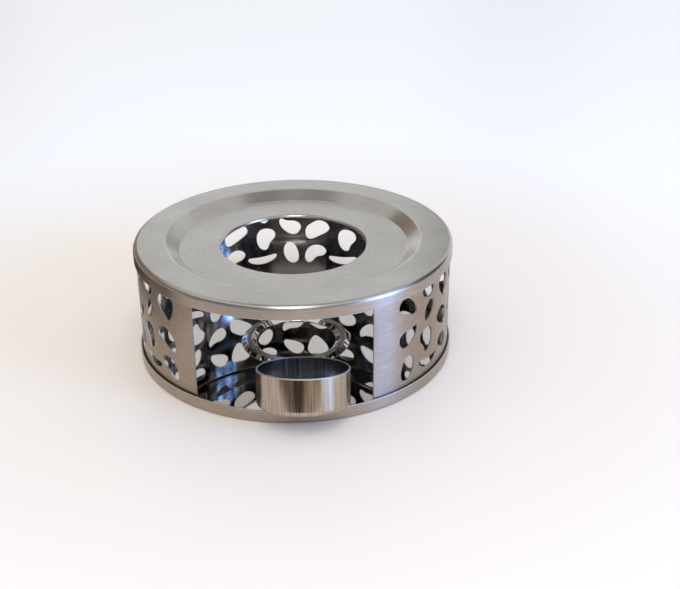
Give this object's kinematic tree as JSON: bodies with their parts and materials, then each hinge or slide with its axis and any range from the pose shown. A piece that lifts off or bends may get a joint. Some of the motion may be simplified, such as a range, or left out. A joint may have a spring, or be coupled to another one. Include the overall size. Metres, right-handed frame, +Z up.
{
  "type": "teapot warmer",
  "caption": "Round steel teapot warmer with a recessed pot plate over a heat hole, a pebble-pierced wall, an open candle window and a loose tealight cup tipped in it.",
  "frame": {"origin": "on the table, at the middle of the tray's underside", "axes": "+Z up, -Y out through the candle window, +X to the right of someone who faces the window"},
  "size_m": [0.1404, 0.1527, 0.0532],
  "materials": {
    "tray_steel": "satin outside, polished floor",
    "band_steel": "satin outside, polished inside",
    "plate_steel": "satin",
    "cup_steel": "polished"
  },
  "bodies": {
    "warmer": {"base_tray": "tray_steel", "wall_band": "band_steel", "top_plate": "plate_steel"},
    "cup": {"tealight_cup": "cup_steel"}
  },
  "joints": [
    {"name": "cup_slide_out", "type": "slide", "parent": "warmer", "child": "cup", "axis": [0.0419, -0.9603, 0.2756], "range_m": [0, 0.06]}
  ]
}
